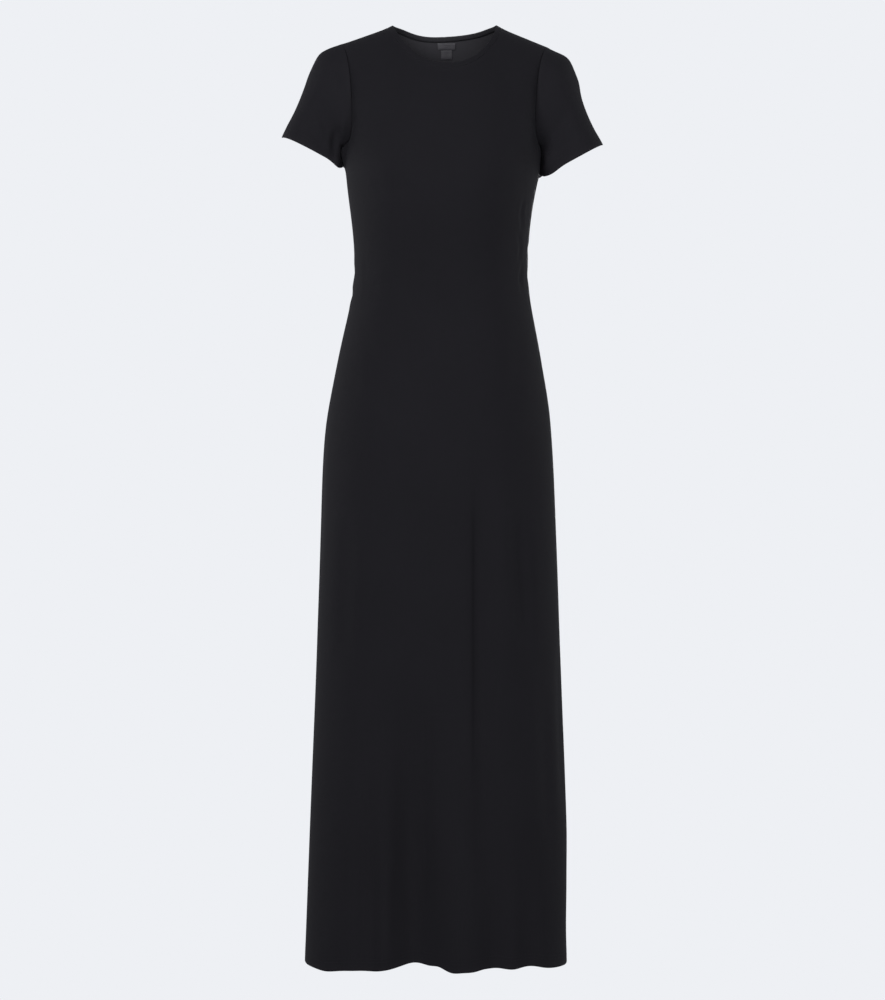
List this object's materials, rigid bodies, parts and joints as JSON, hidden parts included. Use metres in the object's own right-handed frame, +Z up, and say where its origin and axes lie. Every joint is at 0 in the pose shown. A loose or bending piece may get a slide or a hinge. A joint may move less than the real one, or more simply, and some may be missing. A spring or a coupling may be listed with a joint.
{
  "type": "maxi dress",
  "caption": "Ankle-length fitted jersey dress with short set-in sleeves and a bound scoop neck, hollow and open as it is when worn, with soft folds that wave the hem.",
  "frame": {"origin": "on the shoulder line, midway between the two side neck points, where the wearer's shoulders hold the dress up", "axes": "+Z up, -Y the front of the dress, +X the wearer's left"},
  "size_m": [0.4805, 0.2376, 1.4036],
  "materials": {
    "jersey": "matt fine single-knit jersey, black",
    "label": "woven satin, dark grey, blank"
  },
  "bodies": {
    "root": {"front": "jersey", "back": "jersey", "sleeve_right": "jersey", "sleeve_left": "jersey", "neck_binding": "jersey", "neck_label": "label", "size_tab": "label"}
  },
  "joints": []
}
